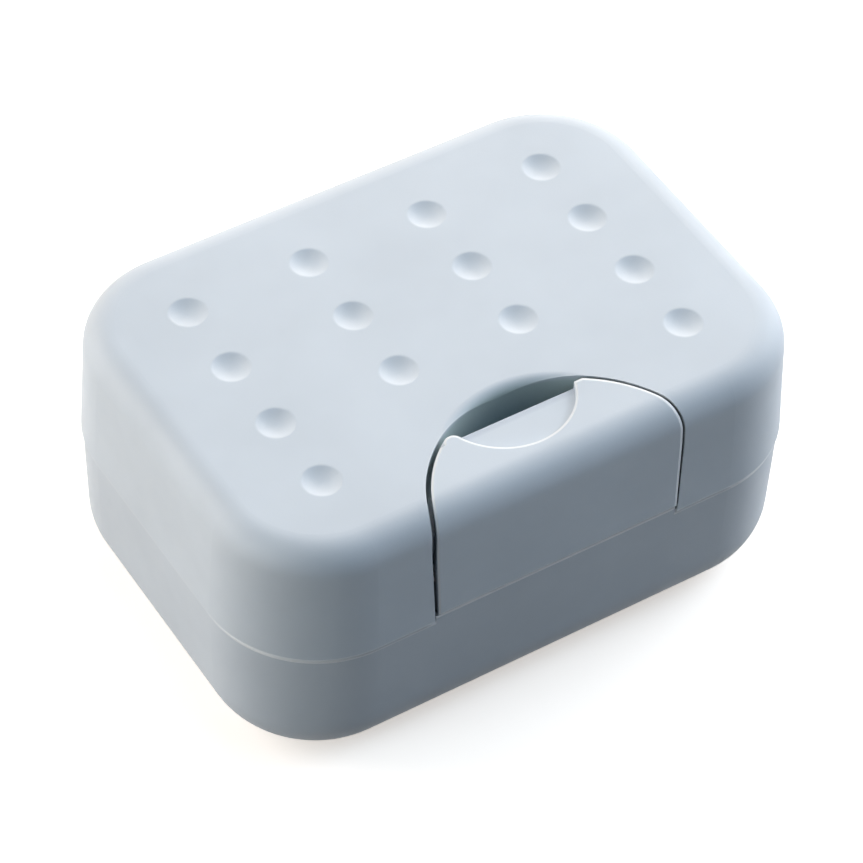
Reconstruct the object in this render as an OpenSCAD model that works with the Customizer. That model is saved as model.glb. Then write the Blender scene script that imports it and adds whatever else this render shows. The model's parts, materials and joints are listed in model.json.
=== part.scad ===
// Travel soap box: a deep base, a hinged lid with a dimpled top, and a latch set into the lid's front.
// Millimetres. The front faces -Y, +Z is up, and the origin is the middle of the underside.

/* [Box] */
// Length of the closed box at the seam
box_l = 108; // [100:1:124]
// Depth of the closed box at the seam, front to back
box_w = 78; // [72:1:92]
// Plan radius of the corners at the seam
corner_r = 20; // [17:0.5:22]
// Height of the seam above the table
seam_z = 27.8; // [24:0.2:34]
// Height of the lid above the seam
lid_h = 23.6; // [22:0.2:30]
// Thickness of the walls of the base and the lid
wall = 2; // [1.8:0.1:2.4]
// Slope of the lid's sides, so that it lifts out of its mould
lid_draft = 3.2; // [1:0.1:4]
// Slope of the base's sides
base_draft = 1.1; // [0.5:0.1:2.5]
// Radius of the lid's top edge
top_edge_r = 5.2; // [4:0.1:7]
// Radius of the base's bottom edge
foot_edge_r = 10.6; // [6:0.1:12]

/* [Seam] */
// How far the lid stands out over the base
overhang = 0.3; // [0.1:0.05:0.5]
// Gap between the lid's edge and the base's rim
seam_gap = 0.3; // [0.25:0.05:0.5]
// Chamfer on the outer edge of the base's rim
rim_chamfer = 0.4; // [0.2:0.1:0.8]
// Height of the lip that stands up inside the lid
lip_h = 2; // [1.2:0.1:3]
// Thickness of the lip
lip_t = 1.3; // [1:0.1:1.8]
// Gap between the lip and the inside of the lid
lip_gap = 0.35; // [0.3:0.05:0.6]
// How far the lip's root reaches down the wall
lip_root = 3; // [2:0.1:5]

/* [Dimples] */
// Columns of dimples across the lid
dimple_cols = 4; // [3:1:5]
// Rows of dimples from back to front
dimple_rows = 4; // [3:1:5]
// Distance between the columns
dimple_pitch_x = 23; // [14:0.5:26]
// Distance between the rows
dimple_pitch_y = 14.3; // [10:0.1:15]
// Outer radius of a dimple, with its soft rim
dimple_r = 3.5; // [2.5:0.1:4.5]
// Depth of a dimple
dimple_depth = 0.9; // [0.5:0.1:1.1]
// Radius of a dimple's soft rim
dimple_rim_r = 1; // [0.4:0.1:1.5]

/* [Latch pocket] */
// Radius of the arch that the pocket makes in the lid's top
arch_r = 24.8; // [24.4:0.1:25.4]
// Distance from the lid's front to the back of the arch
arch_depth = 19.9; // [19:0.1:21.5]
// Half the width of the pocket's opening at the seam
mouth_low = 23.5; // [22.5:0.1:24]
// Half the width of the pocket's opening at the shoulder
mouth_high = 24.2; // [23.2:0.1:24.4]
// Depth of the finger well below the top
well_depth = 10.5; // [8:0.1:12]
// Depth of the recess behind the front of the latch
recess_depth = 6.4; // [6:0.1:7.5]
// Thickness of the pocket's walls
pocket_wall = 1.6; // [1.2:0.1:2]
// Radius of the soft edge at the back of the well
well_edge_r = 1.8; // [0.6:0.1:2.2]
// Half the width of the bay that the latch's toe swings in
bay_half = 8; // [7.4:0.1:10]
// Depth of the toe's bay behind the lid's front
bay_depth = 10.6; // [10.2:0.1:12]

/* [Latch] */
// Play beside the latch at the shoulder
latch_play = 0.75; // [0.6:0.05:1]
// Play beside the latch at its bottom
foot_play = 0.5; // [0.5:0.05:0.8]
// Gap between the latch and the arch
arch_play = 0.7; // [0.6:0.05:1]
// How far the latch sits to the right in its play
latch_shift = 0.2; // [-0.2:0.05:0.2]
// Distance from the lid's front to the latch's straight back edge
latch_reach = 15.4; // [14.5:0.1:16]
// Thickness of the latch's front and top
latch_t = 1.4; // [1.2:0.1:2]
// Height of the pivot above the seam
pivot_rise = 8.6; // [8.2:0.1:9.5]
// Distance from the lid's front to the pivot, at the pivot's height
pivot_inset = 2; // [1.9:0.1:2.4]
// Radius that the latch's bottom edge turns on
swing_r = 7.4; // [7:0.1:7.8]
// Radius of the thumb scoop
scoop_r = 12.1; // [10:0.1:12.6]
// Distance from the lid's front to the centre of the scoop
scoop_centre = 19.5; // [18.5:0.1:20.5]
// Depth of the scoop
scoop_depth = 1; // [0.6:0.1:1.4]
// Radius of the scoop's back edge
scoop_edge_r = 0.9; // [0.4:0.1:1]
// Radius of the latch's left tip
tip_r = 1.6; // [1:0.1:2]
// Half the width of the toe that hooks into the base
toe_half = 6; // [4:0.1:6.5]
// Thickness of the toe
toe_t = 1.4; // [1.2:0.1:1.6]
// How far the toe reaches below the seam
toe_drop = 1.4; // [1:0.1:2]
// Height of the land on the base, below the latch
land_h = 1.4; // [1:0.1:1.8]
// Thickness of the land
land_t = 1.6; // [1.4:0.1:1.8]
// How far the keeper stands in from the land
keeper_t = 0.9; // [0.6:0.1:1.1]
// Clearance between the toe's hook and the keeper
hook_gap = 0.3; // [0.25:0.05:0.5]
// Radius of the latch's pins
latch_pin_r = 0.75; // [0.6:0.05:0.8]
// Length of one of the latch's pins
latch_pin_l = 8; // [7:0.1:9]
// How deep a latch pin sits in the lid
latch_pin_seat = 2.6; // [2:0.1:3]

/* [Rear hinge] */
// Distance from the middle to the centre of each hinge
hinge_x = 22; // [15:0.5:24]
// Radius of the hinge's barrel
barrel_r = 2.4; // [2.2:0.1:2.8]
// Gap between the barrel and the lid's back
barrel_gap = 0.4; // [0.35:0.05:0.6]
// Width of each ear on the base
ear_w = 4; // [3:0.1:5]
// Width of the lid's knuckle between two ears
knuckle_w = 9.4; // [7:0.1:11]
// Gap between the knuckle and an ear
knuckle_gap = 0.3; // [0.3:0.05:0.5]
// Radius of the hinge pins
hinge_pin_r = 1; // [0.8:0.05:1.2]

/* [Fits] */
// Radial clearance of a pin where it is held
held_gap = 0.01; // [0.01:0.005:0.02]
// Radial clearance of a pin where a part turns on it
running_gap = 0.06; // [0.03:0.01:0.1]

/* [Drain rack] */
// Gap between the rack and the base's walls
rack_gap = 0.8; // [0.5:0.1:2]
// Height of the rack's legs
rack_leg_h = 5.5; // [5:0.1:8]
// Thickness of the rack's plate
rack_t = 1.8; // [1.4:0.1:2.4]
// Radius of the rack's legs
rack_leg_r = 2.5; // [1.5:0.1:3]
// Distance from a leg to the rise of the base's foot
rack_leg_gap = 0.3; // [0.1:0.1:1.5]
// Width of the drain slots
slot_w = 4; // [2:0.1:5]
// Length of the drain slots
slot_l = 15; // [8:0.5:16]
// Distance between the slots along a row
slot_pitch_x = 20; // [18:0.5:21]
// Distance between the rows of slots
slot_pitch_y = 12; // [10:0.5:13]
// Radius of the ridges that hold up the soap
ridge_r = 1; // [0.6:0.1:1.6]
// Length of the ridges
ridge_l = 76; // [50:1:80]

/* [Hidden] */
$fn = 96;
hair = 0.001;
sides = [-1, 1];

top_z = seam_z + lid_h;
lid_edge_z = seam_z + seam_gap;
front_y = -box_w / 2;
corner_x = box_l / 2 - corner_r;
corner_y = box_w / 2 - corner_r;
base_r = corner_r - overhang;

// The pocket and the latch, measured from the lid's front
arch_y = front_y + arch_depth - arch_r;
recess_y = front_y + recess_depth;
bay_y = front_y + bay_depth;
well_floor_z = top_z - well_depth;
shoulder_z = top_z - top_edge_r;
pivot_z = seam_z + pivot_rise;
pivot_y = front_y + pivot_rise * tan(lid_draft) + pivot_inset;
latch_r = arch_r - arch_play;
latch_back_y = front_y + latch_reach;
land_y = front_y + overhang;
keeper_y = land_y + land_t + keeper_t;
toe_y = keeper_y + hook_gap;
toe_low_z = seam_z - toe_drop;
gusset_t = 1.2;
boss_wall = 1;
pin_boss_r = pivot_inset - 0.2;
pin_in_x = mouth_high + latch_pin_seat - latch_pin_l;
boss_in_x = mouth_low - latch_play - (latch_pin_l - latch_pin_seat - foot_play) + boss_wall;

// The scoop, and the round left tip between the scoop and the latch's outline
scoop_y = front_y + scoop_centre;
floor_z = top_z - scoop_depth;
tip_out = latch_r - tip_r;
tip_in = scoop_r + tip_r;
tip_rise = (tip_out ^ 2 - tip_in ^ 2 + (scoop_y - arch_y) ^ 2) / (2 * (scoop_y - arch_y));
tip_x = -sqrt(tip_out ^ 2 - tip_rise ^ 2);
tip_y = arch_y + tip_rise;

// The rear hinge's axis
hinge_y = box_w / 2 + barrel_gap + barrel_r;
hinge_w = knuckle_w + 2 * knuckle_gap + 2 * ear_w;
web_drop = hinge_y - box_w / 2 + 2 * barrel_r;

// The base's inside: the radius of its foot, and how far the flat floor reaches beyond a corner's centre
foot_in_r = foot_edge_r - wall;
flat_r = base_r - wall - (seam_z - foot_in_r) * tan(base_draft) - foot_in_r / cos(base_draft);

// The drain rack, which clears the walls and the foot's curve
rack_z = wall + rack_leg_h;
foot_rise = max(0, foot_in_r - rack_leg_h);
rack_inset = overhang + wall + rack_gap + (seam_z - rack_z) * tan(base_draft)
             + foot_in_r - sqrt(foot_in_r ^ 2 - foot_rise ^ 2);
leg_x = corner_x + flat_r - rack_leg_r - rack_leg_gap;

// A side of a moulded cup, from the middle of its corner out to r: its foot is at 0 and its mouth at h.
// The round edge overlaps the straight sides by a hair, so that they cross instead of only touching.
module cup_profile(r, h, draft, edge) {
    centre = r - (h - edge) * tan(draft) - edge / cos(draft);
    polygon([
        [0, 0],
        [centre, 0],
        [centre + edge * cos(draft), edge * (1 - sin(draft))],
        [r, h],
        [0, h]
    ]);
    intersection() {
        translate([centre, edge])
            circle(edge + hair);
        translate([0, -1])
            square([r + 1, edge + 1]);
    }
}

// Sweeps a side's profile round the box: a straight run along each side and a quarter turn at each corner
module sweep_round() {
    for (quarter = [0 : 3]) {
        along = quarter % 2 == 0 ? corner_y : corner_x;
        out = quarter % 2 == 0 ? corner_x : corner_y;
        rotate([0, 0, 90 * quarter])
            translate([out, along, 0]) {
                rotate([90, 0, 0])
                    linear_extrude(2 * along)
                        children();
                rotate_extrude(angle = 90)
                    children();
            }
    }
}

// Fills the middle of a swept shell
module middle_slab(z, h) {
    translate([-corner_x, -corner_y, z])
        cube([2 * corner_x, 2 * corner_y, h]);
}

// Turns a side's profile into a solid along X, standing at the front of the box
module front_run(half_l) {
    translate([half_l, -corner_y, 0])
        rotate([90, 0, -90])
            linear_extrude(2 * half_l)
                children();
}

module round_rect(l, w, r) {
    square([l - 2 * r, w], center = true);
    square([l, w - 2 * r], center = true);
    for (x = sides, y = sides)
        translate([x * (l / 2 - r), y * (w / 2 - r)])
            circle(r);
}

module along_x(half_l, r, y, z) {
    translate([-half_l, y, z])
        rotate([0, 90, 0])
            cylinder(h = 2 * half_l, r = r);
}

// Base

module base_side() {
    lip_out = corner_r - wall - lip_gap;
    difference() {
        cup_profile(base_r, seam_z, base_draft, foot_edge_r);
        translate([0, wall])
            cup_profile(base_r - wall, seam_z, base_draft, foot_in_r);
        polygon([
            [base_r - rim_chamfer, seam_z + 1],
            [base_r - rim_chamfer, seam_z],
            [base_r, seam_z - rim_chamfer],
            [base_r + 1, seam_z - rim_chamfer],
            [base_r + 1, seam_z + 1]
        ]);
    }
    polygon([
        [base_r - wall / 2, seam_z - lip_root],
        [base_r - wall / 2, seam_z],
        [lip_out, seam_z],
        [lip_out, seam_z + lip_h],
        [lip_out - lip_t, seam_z + lip_h],
        [lip_out - lip_t, seam_z - lip_root + wall]
    ]);
}

// The two ears of a hinge, or the knuckle between them; up is 1 on the lid and -1 on the base
module hinge_lug(x, w, up) {
    slant = barrel_r / sqrt(2);
    wall_y = box_w / 2 - wall / 2;
    edge_z = up > 0 ? seam_gap : 0;
    translate([x - w / 2, 0, seam_z])
        rotate([90, 0, 90])
            linear_extrude(w) {
                translate([hinge_y, 0])
                    circle(barrel_r);
                polygon([
                    [wall_y, up * edge_z],
                    [hinge_y, up * edge_z],
                    [hinge_y + slant, up * slant],
                    [wall_y, up * (slant + hinge_y + slant - wall_y)]
                ]);
            }
}

module hinge_bores(r) {
    for (side = sides)
        translate([side * hinge_x, 0, 0])
            along_x(hinge_w, r, hinge_y, seam_z);
}

// The land closes the gap under the latch, and its keeper is what the toe hooks under.
// Its top is hollowed round the latch's pivot, so that the latch clears it all the way.
module land() {
    half = mouth_low - seam_gap;
    difference() {
        union() {
            translate([-half, land_y, seam_z - rim_chamfer])
                cube([2 * half, land_t, land_h + rim_chamfer]);
            translate([-toe_half - 1, land_y + land_t / 2, seam_z])
                cube([2 * toe_half + 2, keeper_y - land_y - land_t / 2, land_h]);
        }
        along_x(box_l / 2, swing_r + seam_gap, pivot_y, pivot_z);
    }
}

module base_shell() {
    lip_break = mouth_high + pocket_wall + 1;
    color("lightsteelblue") {
        difference() {
            union() {
                sweep_round()
                    base_side();
                middle_slab(0, wall);
                for (side = sides, end = sides)
                    hinge_lug(side * hinge_x + end * (hinge_w - ear_w) / 2, ear_w, -1);
            }
            translate([-lip_break, front_y - 1, seam_z])
                cube([2 * lip_break, recess_depth + pocket_wall + 2, lip_h + 1]);
            translate([-bay_half - 1, front_y + overhang + wall, seam_z - lip_root - 1])
                cube([2 * bay_half + 2, lip_t + lip_gap + wall, lip_root + 2]);
            hinge_bores(hinge_pin_r + held_gap);
        }
        land();
    }
}

// Lid

module lid_outer_side() {
    translate([0, lid_h])
        mirror([0, 1])
            cup_profile(corner_r, lid_h, lid_draft, top_edge_r);
}

module lid_side() {
    difference() {
        lid_outer_side();
        translate([0, lid_h - wall])
            mirror([0, 1])
                cup_profile(corner_r - wall, lid_h, lid_draft, top_edge_r - wall);
        translate([0, -1])
            square([corner_r + 1, 1 + seam_gap]);
    }
}

// A dimple's hollow: a shallow ball that a soft rim joins to the flat top
module dimple() {
    soft = dimple_rim_r;
    ball = (dimple_r ^ 2 + (soft - dimple_depth) ^ 2 - soft ^ 2) / (2 * dimple_depth);
    ball_z = ball - dimple_depth;
    share = ball / (ball + soft);
    join = [share * dimple_r, ball_z - share * (soft + ball_z)];
    rotate_extrude() {
        intersection() {
            translate([0, ball_z])
                circle(ball);
            translate([0, -dimple_depth - 1])
                square([dimple_r, dimple_depth + 1 + join[1]]);
        }
        difference() {
            polygon([[0, join[1]], join, [dimple_r, 0], [dimple_r, 1], [0, 1]]);
            translate([dimple_r, -soft])
                circle(soft);
        }
    }
}

// The front row has only its outer two dimples, which leaves room for the finger well
module dimples() {
    for (col = [0 : dimple_cols - 1], row = [0 : dimple_rows - 1])
        if (row > 0 || col == 0 || col == dimple_cols - 1)
            translate([
                (col - (dimple_cols - 1) / 2) * dimple_pitch_x,
                (row - (dimple_rows - 1) / 2) * dimple_pitch_y,
                top_z
            ])
                dimple();
}

// The pocket's outline seen from the front, as a solid that runs back through the box
module mouth(low, high) {
    translate([0, front_y - 1, 0])
        rotate([90, 0, 0])
            mirror([0, 0, 1])
                linear_extrude(box_w / 2)
                    polygon([
                        [-low, seam_z],
                        [low, seam_z],
                        [high, shoulder_z],
                        [high, top_z + 1],
                        [-high, top_z + 1],
                        [-high, shoulder_z]
                    ]);
}

// The finger well, the recess behind the latch's front and the toe's bay, wider by grow
module pocket(grow) {
    intersection() {
        mouth(mouth_low + grow, mouth_high + grow);
        union() {
            translate([0, arch_y, well_floor_z - grow])
                cylinder(h = well_depth + grow + 1, r = arch_r + grow);
            translate([-box_l / 2, recess_y + grow - box_w, 0])
                cube([box_l, box_w, well_floor_z + grow]);
            translate([-bay_half - grow, bay_y + grow - box_w, 0])
                cube([2 * (bay_half + grow), box_w, pivot_z + grow]);
        }
    }
}

// The soft edge at the back of the well, which fades out where the latch's tips begin
module well_edge() {
    soft = well_edge_r;
    fade = 4 * soft;
    run_r = arch_r + soft - fade;
    translate([0, arch_y + fade, top_z - soft])
        rotate_extrude()
            difference() {
                translate([run_r - soft - 1, 0])
                    square([soft + 1, soft + 1]);
                translate([run_r, 0])
                    circle(soft);
            }
}

module lid_shell() {
    color("lightsteelblue")
        difference() {
            union() {
                translate([0, 0, seam_z]) {
                    sweep_round()
                        lid_side();
                    middle_slab(lid_h - wall, wall);
                }
                intersection() {
                    translate([0, 0, seam_z])
                        front_run(corner_x)
                            difference() {
                                block_side(0);
                                translate([-corner_y - 1, -1])
                                    square([box_w, 1 + seam_gap]);
                            }
                    union() {
                        pocket(pocket_wall);
                        along_x(mouth_high + latch_pin_seat + boss_wall, pin_boss_r, pivot_y, pivot_z);
                    }
                }
                for (side = sides)
                    hinge_lug(side * hinge_x, knuckle_w, 1);
            }
            pocket(0);
            well_edge();
            dimples();
            hinge_bores(hinge_pin_r + running_gap);
            along_x(mouth_high + latch_pin_seat + held_gap, latch_pin_r + held_gap, pivot_y, pivot_z);
        }
}

// Latch

// The lid's side profile filled in as far as the middle of the box, less the given thickness
module block_side(t) {
    translate([0, lid_h - t])
        mirror([0, 1])
            cup_profile(corner_r - t, lid_h, lid_draft, top_edge_r - t);
    translate([-corner_y, 0])
        square([corner_y, lid_h - t]);
}

// The latch's outline: the arch and the straight back edge from above, the mouth from the front
module latch_outline() {
    intersection() {
        mouth(mouth_low - foot_play, mouth_high - latch_play);
        translate([0, arch_y, seam_z])
            cylinder(h = lid_h + 1, r = latch_r);
        translate([-mouth_high, latch_back_y - box_w, seam_z])
            cube([2 * mouth_high, box_w, lid_h + 1]);
        union() {
            translate([-mouth_high, front_y - 1, pivot_z])
                cube([2 * mouth_high, box_w, lid_h]);
            along_x(mouth_high, swing_r, pivot_y, pivot_z);
        }
    }
}

// The room behind the latch's front and under its top and its scoop, with a gusset at each side
module latch_hollow() {
    difference() {
        translate([0, 0, seam_z])
            front_run(mouth_high)
                block_side(latch_t);
        translate([0, scoop_y, floor_z - latch_t])
            cylinder(h = latch_t + scoop_depth, r = scoop_r + latch_t);
        for (side = sides)
            translate([side * scoop_r - gusset_t / 2, 0, 0])
                rotate([90, 0, 90])
                    linear_extrude(gusset_t)
                        polygon([
                            [front_y, well_floor_z],
                            [front_y + latch_t + 1, well_floor_z],
                            [latch_back_y - 3, floor_z - latch_t],
                            [latch_back_y - 3, top_z],
                            [front_y, top_z]
                        ]);
    }
}

module toe() {
    root_y = pivot_y - pivot_inset / 2;
    back_y = toe_y + keeper_t / 2 + toe_t;
    translate([-toe_half, back_y - toe_t, toe_low_z])
        cube([2 * toe_half, toe_t, pivot_z + toe_t - toe_low_z]);
    translate([-toe_half, toe_y, toe_low_z])
        cube([2 * toe_half, keeper_t, seam_z - hook_gap - toe_low_z]);
    translate([-toe_half, root_y, pivot_z - toe_t])
        cube([2 * toe_half, back_y - toe_t / 2 - root_y, 2 * toe_t]);
}

// Cuts the left tip round: its outside over the latch's whole thickness, its inside down to the scoop's floor
module tip_cut() {
    reach = 3 * tip_r;
    outward = [tip_x, tip_rise] / tip_out * reach;
    inward = [-tip_x, scoop_y - tip_y] / tip_in * reach;
    translate([tip_x, tip_y, well_floor_z])
        linear_extrude(well_depth + 1)
            difference() {
                polygon([[0, 0], outward, outward + [0, reach], [0, reach]]);
                circle(tip_r);
            }
    translate([tip_x, tip_y, floor_z])
        linear_extrude(scoop_depth + 1)
            difference() {
                polygon([[0, 0], inward, inward + [0, reach], [0, reach]]);
                circle(tip_r);
            }
}

// The thumb scoop: a round recess with a flat floor that turns down at the latch's back edge
module scoop() {
    edge_y = latch_back_y - scoop_edge_r;
    edge_z = floor_z - scoop_edge_r;
    difference() {
        translate([0, scoop_y, edge_z])
            cylinder(h = scoop_edge_r + scoop_depth + 1, r = scoop_r);
        translate([-box_l / 2, edge_y - box_w, seam_z])
            cube([box_l, box_w, floor_z - seam_z]);
        along_x(box_l / 2, scoop_edge_r, edge_y, edge_z);
    }
}

module latch() {
    bore_x = boss_in_x - 1;
    color("lightsteelblue")
        translate([latch_shift, 0, 0])
            difference() {
                union() {
                    difference() {
                        intersection() {
                            translate([0, 0, seam_z])
                                front_run(mouth_high)
                                    block_side(0);
                            latch_outline();
                        }
                        latch_hollow();
                    }
                    for (side = sides)
                        translate([side * boss_in_x, pivot_y, pivot_z])
                            rotate([0, side * 90, 0])
                                cylinder(h = mouth_low - latch_play - boss_in_x, r = pin_boss_r);
                    toe();
                }
                scoop();
                tip_cut();
                for (side = sides)
                    translate([side * bore_x - latch_shift, pivot_y, pivot_z])
                        rotate([0, side * 90, 0])
                            cylinder(h = latch_pin_l + 2, r = latch_pin_r + running_gap);
            }
}

module latch_pin(side) {
    color("silver")
        translate([side * pin_in_x, pivot_y, pivot_z])
            rotate([0, side * 90, 0])
                cylinder(h = latch_pin_l, r = latch_pin_r);
}

module latch_pin_left() {
    latch_pin(-1);
}

module latch_pin_right() {
    latch_pin(1);
}

// Rear hinge pins

module hinge_pin(side) {
    color("silver")
        translate([side * hinge_x, 0, 0])
            along_x(hinge_w / 2, hinge_pin_r, hinge_y, seam_z);
}

module hinge_pin_left() {
    hinge_pin(-1);
}

module hinge_pin_right() {
    hinge_pin(1);
}

// Drain rack

module slot() {
    square([slot_l - slot_w, slot_w], center = true);
    for (side = sides)
        translate([side * (slot_l - slot_w) / 2, 0])
            circle(slot_w / 2);
}

module drain_rack() {
    rack_l = box_l - 2 * rack_inset;
    rack_w = box_w - 2 * rack_inset;
    rack_r = corner_r - rack_inset;
    slot_cols = 4;
    slot_rows = 5;
    color("white") {
        translate([0, 0, rack_z])
            linear_extrude(rack_t)
                difference() {
                    round_rect(rack_l, rack_w, rack_r);
                    for (col = [0 : slot_cols - 1], row = [0 : slot_rows - 1])
                        translate([
                            (col - (slot_cols - 1) / 2) * slot_pitch_x,
                            (row - (slot_rows - 1) / 2) * slot_pitch_y
                        ])
                            slot();
                }
        for (ridge = [0 : slot_rows - 2])
            translate([0, (ridge - (slot_rows - 2) / 2) * slot_pitch_y, 0])
                along_x(ridge_l / 2, ridge_r, 0, rack_z + rack_t);
        for (x = sides, y = sides)
            translate([x * leg_x, y * (slot_rows - 2) / 2 * slot_pitch_y, wall])
                cylinder(h = rack_leg_h + rack_t / 2, r = rack_leg_r);
    }
}

base_shell();
lid_shell();
latch();
drain_rack();
hinge_pin_left();
hinge_pin_right();
latch_pin_left();
latch_pin_right();
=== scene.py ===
import json
import math

import bpy
from mathutils import Matrix, Vector


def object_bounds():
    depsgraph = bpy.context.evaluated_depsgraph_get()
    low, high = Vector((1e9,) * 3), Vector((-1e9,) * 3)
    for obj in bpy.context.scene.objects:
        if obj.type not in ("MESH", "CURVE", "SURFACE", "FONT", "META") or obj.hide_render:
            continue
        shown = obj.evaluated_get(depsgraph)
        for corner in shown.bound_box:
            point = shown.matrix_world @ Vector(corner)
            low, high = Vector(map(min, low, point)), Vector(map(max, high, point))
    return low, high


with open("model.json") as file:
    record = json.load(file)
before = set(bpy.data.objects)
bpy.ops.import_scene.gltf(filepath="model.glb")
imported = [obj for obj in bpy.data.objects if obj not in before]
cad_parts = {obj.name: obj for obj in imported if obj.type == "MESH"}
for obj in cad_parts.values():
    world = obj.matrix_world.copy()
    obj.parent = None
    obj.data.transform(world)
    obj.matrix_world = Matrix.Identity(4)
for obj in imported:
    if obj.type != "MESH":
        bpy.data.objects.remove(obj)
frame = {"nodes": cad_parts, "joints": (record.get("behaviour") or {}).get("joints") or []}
cad_box = [list(corner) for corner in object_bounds()]
nodes = frame["nodes"]
scene = bpy.context.scene


# Places on the box that the materials follow, in metres

# The lid's top, and the seam, which is as high as the lid's hinge
top_z = cad_box[1][2]
seam_z = next(joint["pos_m"][2] for joint in frame["joints"] if joint["name"] == "lid_hinge")
# The lid's lower edge, its front at the seam, and how high above the seam it starts to bend to the top
lid_edge_z = seam_z + 0.0003
front_y = -0.039
shoulder_h = 0.0184
# The centre of a round corner of the plan, and how far beyond it the shells' outer wall starts
corner_centre = (0.034, 0.019)
outer_wall_r = 0.0189
# The arch of the pocket, and the latch's own arch inside it
arch_r = 0.0248
arch_centre = (0.0, front_y + 0.0199 - arch_r)
latch_r = arch_r - 0.0007
# How far right the latch sits, half its width at the seam, and how that grows with the height
latch_shift = 0.0002
latch_half = 0.023
latch_spread = 0.0245
# A height just above the latch's lower edge, its back edge, and the height where the flat of its top starts
latch_foot_z = seam_z + 0.0016
latch_back_y = front_y + 0.0154
flat_z = top_z - 0.0006
# The thumb scoop, and the round left tip between the scoop and the latch's arch
scoop_centre = (0.0, front_y + 0.0195)
scoop_r = 0.0121
tip_r = 0.0016
tip_out = latch_r - tip_r
tip_in = scoop_r + tip_r
scoop_rise = scoop_centre[1] - arch_centre[1]
tip_rise = (tip_out ** 2 - tip_in ** 2 + scoop_rise ** 2) / (2.0 * scoop_rise)
tip_centre = (-math.sqrt(tip_out ** 2 - tip_rise ** 2), arch_centre[1] + tip_rise)
tip_front_y = -0.025
tip_right_x = -0.0107
# The land under the latch: half its width, and the low and the rear limit of the painted highlight on its
# top edge
land_half = 0.0232
land_highlight_z = seam_z + 0.0007
land_highlight_y = front_y + 0.0013


# Materials

class Nodes:
    """A material's node tree, with short ways to add nodes and to link them."""

    def __init__(self, name):
        self.material = bpy.data.materials.new(name)
        self.material.use_nodes = True
        self.tree = self.material.node_tree
        self.shader = self.tree.nodes["Principled BSDF"]
        self.place = self.add("ShaderNodeTexCoord").outputs["Object"]

    def add(self, kind, **values):
        node = self.tree.nodes.new(kind)
        for name, value in values.items():
            if name in node.inputs:
                node.inputs[name].default_value = value
            else:
                setattr(node, name, value)
        return node

    def link(self, source, target):
        self.tree.links.new(source, target)

    def axes(self):
        node = self.add("ShaderNodeSeparateXYZ")
        self.link(self.place, node.inputs[0])
        return node.outputs

    def noise(self, scale, detail=2.0, roughness=0.5):
        node = self.add("ShaderNodeTexNoise", Scale=scale, Detail=detail, Roughness=roughness)
        self.link(self.place, node.inputs["Vector"])
        return node.outputs["Fac"]

    def rise(self, value, start, end, low=0.0, high=1.0):
        """Goes from low to high while the value goes from start to end."""
        node = self.add("ShaderNodeMapRange")
        self.link(value, node.inputs["Value"])
        for name, number in (("From Min", start), ("From Max", end), ("To Min", low), ("To Max", high)):
            node.inputs[name].default_value = number
        return node.outputs["Result"]

    def fall(self, value, start, end):
        """Goes from 1 to 0 while the value goes from start to end."""
        return self.rise(value, start, end, 1.0, 0.0)

    def mix(self, factor, first, second):
        node = self.add("ShaderNodeMix", data_type="RGBA")
        self.link(factor, node.inputs["Factor"])
        for name, value in (("A", first), ("B", second)):
            socket = next(s for s in node.inputs if s.name == name and s.type == "RGBA")
            if isinstance(value, tuple):
                socket.default_value = value + (1.0,)
            else:
                self.link(value, socket)
        return next(s for s in node.outputs if s.type == "RGBA")

    def math(self, operation, *values):
        node = self.add("ShaderNodeMath", operation=operation)
        for socket, value in zip(node.inputs, values):
            if isinstance(value, (int, float)):
                socket.default_value = value
            else:
                self.link(value, socket)
        return node.outputs[0]

    def combine(self, operation, first, *others):
        """Takes in one value after another with the same operation."""
        for other in others:
            first = self.math(operation, first, other)
        return first

    def times(self, *values):
        return self.combine("MULTIPLY", *values)

    def greatest(self, *values):
        return self.combine("MAXIMUM", *values)

    def least(self, *values):
        return self.combine("MINIMUM", *values)

    def minus(self, first, second):
        return self.math("SUBTRACT", first, second)

    def size(self, value):
        return self.math("ABSOLUTE", value)

    def length(self, *parts):
        """How long a vector with these parts is."""
        squares = [self.math("POWER", part, 2.0) for part in parts]
        return self.math("SQRT", self.combine("ADD", *squares))

    def inside_circle(self, x, y, centre, radius):
        """How far inside a circle seen from above a point lies."""
        parts = [self.minus(value, middle) for value, middle in zip((x, y), centre)]
        return self.minus(radius, self.length(*parts))

    def past_pocket(self, x, y):
        """How far outside the arch of the pocket a point lies."""
        return self.times(self.inside_circle(x, y, arch_centre, arch_r), -1.0)

    def outer_wall(self, x, y):
        """1 on the shells' outer wall, 0 on anything further in, from the box's rounded plan."""
        parts = [self.greatest(self.minus(self.size(value), middle), 0.0)
                 for value, middle in zip((x, y), corner_centre)]
        return self.rise(self.length(*parts), outer_wall_r - 0.0001, outer_wall_r + 0.0001)

    def mostly_front(self, y, front, elsewhere):
        """A strength that changes along the sides, from the front's to the one elsewhere."""
        return self.rise(y, -0.028, -0.018, front, elsewhere)

    def only_past(self, distance, value, limit, sign=1.0):
        """Drops an edge where the value hasn't reached its limit."""
        steepness = 12.0
        short = self.greatest(self.times(self.minus(limit, value), sign), 0.0)
        return self.math("ADD", distance, self.times(short, steepness))

    def bump(self, height, distance, strength=1.0, under=None):
        node = self.add("ShaderNodeBump", Strength=strength, Distance=distance)
        self.link(height, node.inputs["Height"])
        if under is not None:
            self.link(under, node.inputs["Normal"])
        return node.outputs["Normal"]


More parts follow.
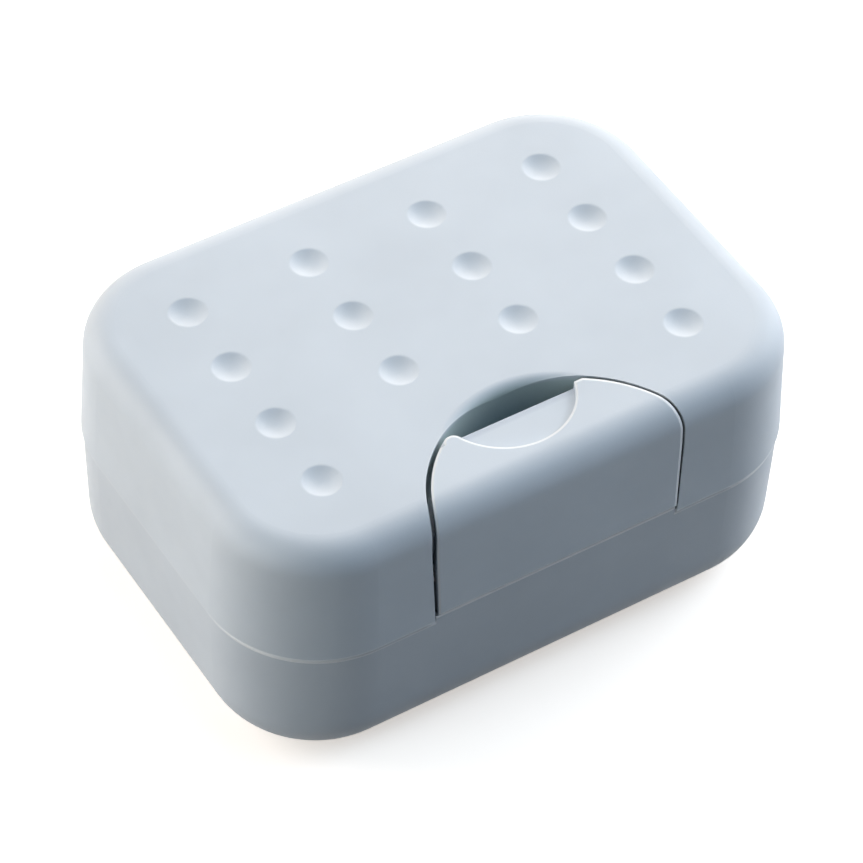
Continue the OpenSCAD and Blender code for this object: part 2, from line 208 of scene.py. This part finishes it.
def latch_rim(n):
    """The latch's outline with a painted highlight, and the height of its round edges: its arch, sides,
    scoop, back and tip.
    """
    x, y, z = n.axes()
    x = n.minus(x, latch_shift)
    arch = n.inside_circle(x, y, arch_centre, latch_r)
    height = n.least(n.minus(z, seam_z), shoulder_h)
    half = n.math("ADD", n.times(height, latch_spread), latch_half)
    side = n.minus(half, n.size(x))
    scoop = n.only_past(n.size(n.inside_circle(x, y, scoop_centre, scoop_r)), z, flat_z)
    back = n.only_past(n.minus(latch_back_y, y), z, flat_z)
    tip = n.only_past(n.inside_circle(x, y, tip_centre, tip_r), y, tip_front_y)
    tip = n.only_past(n.only_past(tip, z, flat_z), x, tip_right_x, -1.0)
    rounded = n.least(arch, side, scoop, back, tip)
    foot = n.times(n.minus(z, latch_foot_z), 2.0)
    nearest = n.least(rounded, foot)
    # Painted highlight along the latch's outline.
    outline_highlight = n.times(n.rise(nearest, 0.00002, 0.00005), n.fall(nearest, 0.0003, 0.00046))
    return outline_highlight, n.least(rounded, 0.0004)


def base_rim(n):
    """A painted highlight on the base's parting edge beside the land, stronger on the front, and on the top
    edge of the land under the latch.
    """
    x, y, z = n.axes()
    above = n.rise(z, seam_z - 0.0008, seam_z - 0.00064)
    below = n.fall(z, seam_z + 0.00005, seam_z + 0.0001)
    past_land = n.rise(n.size(x), land_half - 0.0001, land_half)
    beside = n.greatest(past_land, n.rise(y, -0.035, -0.034))
    seam = n.times(above, below, n.outer_wall(x, y), beside, n.mostly_front(y, 0.7, 0.08))
    land = n.times(n.rise(z, land_highlight_z - 0.00008, land_highlight_z),
                   n.fall(y, land_highlight_y - 0.0001, land_highlight_y + 0.0001))
    return n.greatest(seam, land), None


def lid_rim(n):
    """A painted highlight on the lid's lower edge, stronger on the front, and a faint painted highlight
    round the pocket on the flat of the lid's top.
    """
    x, y, z = n.axes()
    edge = n.fall(z, lid_edge_z + 0.00018, lid_edge_z + 0.0003)
    edge = n.times(edge, n.outer_wall(x, y), n.mostly_front(y, 1.0, 0.1))
    past = n.past_pocket(x, y)
    line = n.times(n.rise(past, 0.00002, 0.00005), n.fall(past, 0.00012, 0.00022))
    faint = n.times(line, n.rise(z, flat_z - 0.0001, flat_z + 0.0001), 0.3)
    return n.greatest(edge, faint), None


def scoop_shade(n):
    """The thumb scoop's floor, with a painted shadow that grows darker towards the latch's back edge."""
    x, y, z = n.axes()
    floor = n.times(n.rise(z, top_z - 0.0024, top_z - 0.002), n.fall(z, flat_z - 0.0002, flat_z))
    return n.times(floor, n.rise(y, latch_back_y - 0.0018, latch_back_y), 0.6)


def well_shade(n):
    """Painted shade on the wall of the finger well and its round upper edge."""
    x, y, z = n.axes()
    past = n.past_pocket(x, y)
    wall = n.times(n.rise(past, -0.0001, -0.00005), n.fall(past, 0.0018, 0.0022))
    return n.times(wall, n.fall(z, top_z - 0.0013, top_z), n.rise(y, -0.03, -0.027))


def plastic_tint(n, colour):
    """The plastic's colour, with faint flow marks and a few dark specks."""
    darker = tuple(c * 0.965 for c in colour)
    paler = tuple(min(1.0, c * 1.02 + 0.004) for c in colour)
    flow = n.rise(n.noise(38.0, 3.0, 0.55), 0.35, 0.65)
    cells = n.add("ShaderNodeTexVoronoi", Scale=90.0, Randomness=1.0)
    n.link(n.place, cells.inputs["Vector"])
    spot = n.fall(cells.outputs["Distance"], 0.018, 0.03)
    few = n.rise(n.noise(160.0, 1.0), 0.63, 0.66)
    return n.mix(n.times(spot, few), n.mix(flow, darker, paler), tuple(c * 0.55 for c in colour))


def moulded_plastic(name, colour, roughness=0.5, shade=None, rim=None, painted_gap_shade=False):
    """Satin moulded plastic, with an eroded-mould grain and soft sinks.

    shade and rim are each a mask and its colour: shade for painted shade, and rim for painted highlights on
    the edges, whose mask may come with a height for the bump. The last switch paints shade, found by
    ambient occlusion, on what lies in a narrow gap.
    """
    n = Nodes(name)
    shader = n.shader
    tint = plastic_tint(n, colour)
    matt = n.rise(n.noise(420.0, 2.0), 0.3, 0.7, roughness - 0.03, roughness + 0.05)
    normal = n.bump(n.noise(26.0, 1.0), 0.0001, 0.5)
    if shade is not None:
        mask, shade_colour = shade
        # Mixes in a painted shade.
        tint = n.mix(mask(n), tint, shade_colour)
    if rim is not None:
        mask, highlight_colour = rim
        edge, height = mask(n)
        # Mixes in the rim's painted highlight.
        tint = n.mix(edge, tint, highlight_colour)
        matt = n.minus(matt, n.times(edge, 0.12))
        if height is not None:
            normal = n.bump(height, 1.0, 0.7, normal)
    if painted_gap_shade:
        # Painted shade in narrow gaps, found by ambient occlusion.
        openness = n.add("ShaderNodeAmbientOcclusion", samples=8, Distance=0.002).outputs["AO"]
        tint = n.mix(n.fall(openness, 0.15, 0.45), tint, gap_shade_colour)
    grain = n.bump(n.noise(2600.0, 3.0, 0.6), 0.000012, 0.6, normal)
    n.link(tint, shader.inputs["Base Color"])
    n.link(matt, shader.inputs["Roughness"])
    n.link(grain, shader.inputs["Normal"])
    shader.inputs["IOR"].default_value = 1.46
    shader.inputs["Specular IOR Level"].default_value = 0.35
    shader.inputs["Subsurface Weight"].default_value = 0.1
    shader.inputs["Subsurface Radius"].default_value = (0.9, 1.0, 1.15)
    shader.inputs["Subsurface Scale"].default_value = 0.0012
    return n.material


def drawn_steel(name):
    """Stainless wire, with the fine lines of its drawing along X and a few dull patches."""
    n = Nodes(name)
    shader = n.shader
    stretch = n.add("ShaderNodeMapping", Scale=(0.02, 1.0, 1.0))
    n.link(n.place, stretch.inputs["Vector"])
    lines = n.add("ShaderNodeTexNoise", Scale=9000.0, Detail=2.0)
    n.link(stretch.outputs["Vector"], lines.inputs["Vector"])
    dull = n.rise(n.noise(500.0), 0.4, 0.7)
    n.link(n.mix(dull, (0.64, 0.63, 0.62), (0.5, 0.5, 0.5)), shader.inputs["Base Color"])
    n.link(n.rise(dull, 0.0, 1.0, 0.24, 0.4), shader.inputs["Roughness"])
    n.link(n.bump(lines.outputs["Fac"], 0.00001, 0.5), shader.inputs["Normal"])
    shader.inputs["Metallic"].default_value = 1.0
    return n.material


def dress(material, *names):
    """Gives the material to the nodes of these names."""
    for name in names:
        for slot in nodes[name].material_slots:
            slot.material = material


base_colour = (0.575, 0.637, 0.707)
lid_colour = (0.60, 0.665, 0.735)
latch_colour = (0.61, 0.675, 0.745)
rack_colour = (0.74, 0.76, 0.765)
# Painted highlight on the base's parting edge and on the land's top edge.
base_rim_highlight_colour = (0.95, 0.975, 1.0)
# Painted highlight on the latch's outline, the lid's lower edge and the line round the pocket.
rim_highlight_colour = (0.80, 0.85, 0.90)
# Painted shade on the finger well's wall.
well_shade_colour = (0.44, 0.55, 0.56)
# Painted shadow on the thumb scoop's floor.
scoop_shadow_colour = (0.30, 0.36, 0.47)
# Painted shade in narrow gaps.
gap_shade_colour = (0.012, 0.014, 0.016)

base_plastic = moulded_plastic("base_plastic", base_colour, rim=(base_rim, base_rim_highlight_colour))
lid_plastic = moulded_plastic("lid_plastic", lid_colour, shade=(well_shade, well_shade_colour),
                              rim=(lid_rim, rim_highlight_colour), painted_gap_shade=True)
latch_plastic = moulded_plastic("latch_plastic", latch_colour, shade=(scoop_shade, scoop_shadow_colour),
                                rim=(latch_rim, rim_highlight_colour), painted_gap_shade=True)
rack_plastic = moulded_plastic("rack_plastic", rack_colour, roughness=0.42)
steel = drawn_steel("pin_steel")

dress(base_plastic, "base_shell")
dress(lid_plastic, "lid_shell")
dress(latch_plastic, "latch")
dress(rack_plastic, "drain_rack")
dress(steel, "hinge_pin_left", "hinge_pin_right", "latch_pin_left", "latch_pin_right")


# Stage

def sight(tree):
    """1 for camera, glossy and transmission rays, and 0 for the rays that carry diffuse light."""
    path = tree.nodes.new("ShaderNodeLightPath").outputs
    seen = path["Is Camera Ray"]
    for ray in ("Is Glossy Ray", "Is Transmission Ray"):
        either = tree.nodes.new("ShaderNodeMath")
        either.operation = "MAXIMUM"
        tree.links.new(seen, either.inputs[0])
        tree.links.new(path[ray], either.inputs[1])
        seen = either.outputs[0]
    return seen


def lay_floor():
    """A white floor that glows for the camera and for reflections, and throws little light on the box."""
    half = 6.0
    drop = 0.00002
    near = 0.15
    far = 0.9
    glow_near = 0.556
    glow_far = 1.2
    bounce = 0.2
    mesh = bpy.data.meshes.new("floor")
    corners = [(-half, -half, 0), (half, -half, 0), (half, half, 0), (-half, half, 0)]
    mesh.from_pydata(corners, [], [(0, 1, 2, 3)])
    floor = bpy.data.objects.new("floor", mesh)
    scene.collection.objects.link(floor)
    floor.location.z = -drop
    n = Nodes("floor_white")
    n.link(n.mix(n.noise(30.0), (0.85, 0.855, 0.86), (0.87, 0.87, 0.87)), n.shader.inputs["Base Color"])
    n.shader.inputs["Roughness"].default_value = 0.9
    n.shader.inputs["Specular IOR Level"].default_value = 0.1
    x, y = n.axes()[:2]
    glow = n.add("ShaderNodeEmission", Color=(1.0, 0.935, 0.87, 1.0))
    n.link(n.rise(n.length(x, y), near, far, glow_near, glow_far), glow.inputs["Strength"])
    bright = n.add("ShaderNodeAddShader")
    n.link(n.shader.outputs[0], bright.inputs[0])
    n.link(glow.outputs[0], bright.inputs[1])
    dim = n.add("ShaderNodeBsdfDiffuse", Color=(bounce, bounce, bounce, 1.0))
    choice = n.add("ShaderNodeMixShader")
    n.link(sight(n.tree), choice.inputs["Fac"])
    n.link(dim.outputs[0], choice.inputs[1])
    n.link(bright.outputs[0], choice.inputs[2])
    n.link(choice.outputs[0], n.tree.nodes["Material Output"].inputs["Surface"])
    mesh.materials.append(n.material)


def light_world():
    """A white surround for the camera and for reflections, which adds no other light."""
    world = bpy.data.worlds.new("studio")
    world.use_nodes = True
    scene.world = world
    sky = world.node_tree.nodes["Background"]
    sky.inputs["Color"].default_value = (1.0, 1.0, 1.0, 1.0)
    world.node_tree.links.new(sight(world.node_tree), sky.inputs["Strength"])


def lamp(name, azimuth, elevation, watts, colour):
    """A soft square panel that looks at the box. Azimuth 0 is in front of it, and 90 on its right."""
    side = 0.7
    distance = 1.1
    target = Vector((0.0, 0.0, 0.025))
    data = bpy.data.lights.new(name, "AREA")
    data.shape = "SQUARE"
    data.size = side
    data.energy = watts
    data.color = colour
    light = bpy.data.objects.new(name, data)
    scene.collection.objects.link(light)
    turn = math.radians(azimuth)
    lift = math.radians(elevation)
    way = Vector((math.sin(turn) * math.cos(lift), -math.cos(turn) * math.cos(lift), math.sin(lift)))
    light.location = target + way * distance
    light.rotation_mode = "QUATERNION"
    light.rotation_quaternion = way.to_track_quat("Z", "Y")


lay_floor()
light_world()
lamp("back_left", 225.0, 25.0, 9.1, (1.0, 0.896, 0.811))
lamp("left", 270.0, 25.0, 4.7, (0.95, 1.0, 0.994))
lamp("back_right", 135.0, 25.0, 6.9, (1.0, 0.89, 0.78))
lamp("right", 90.0, 25.0, 10.3, (1.0, 1.0, 1.0))
lamp("high_front", 45.0, 55.0, 2.7, (0.49, 0.74, 1.0))


# Camera

def set_camera():
    """The photograph's viewpoint, with its focal length in the photograph's pixels."""
    photo_px = 863.0
    focal_px = 3730.5
    sensor_mm = 36.0
    place = (-0.23734, -0.35708, 0.48795)
    azimuth, elevation, roll = (math.radians(angle) for angle in (-33.62, 47.27, 2.42))
    data = bpy.data.cameras.new("camera")
    data.sensor_width = sensor_mm
    data.lens = focal_px / photo_px * sensor_mm
    data.clip_start = 0.05
    data.clip_end = 50.0
    camera = bpy.data.objects.new("camera", data)
    scene.collection.objects.link(camera)
    level = Vector((math.cos(azimuth), math.sin(azimuth), 0.0))
    forward = Vector((-math.sin(azimuth), math.cos(azimuth), 0.0))
    ahead = forward * math.cos(elevation) - Vector((0.0, 0.0, math.sin(elevation)))
    above = level.cross(ahead)
    right = level * math.cos(roll) + above * math.sin(roll)
    up = above * math.cos(roll) - level * math.sin(roll)
    turn = Matrix((right, up, -ahead)).transposed()
    camera.matrix_world = Matrix.Translation(place) @ turn.to_4x4()
    scene.camera = camera


set_camera()
scene.view_settings.view_transform = "Standard"

bpy.context.view_layer.update()
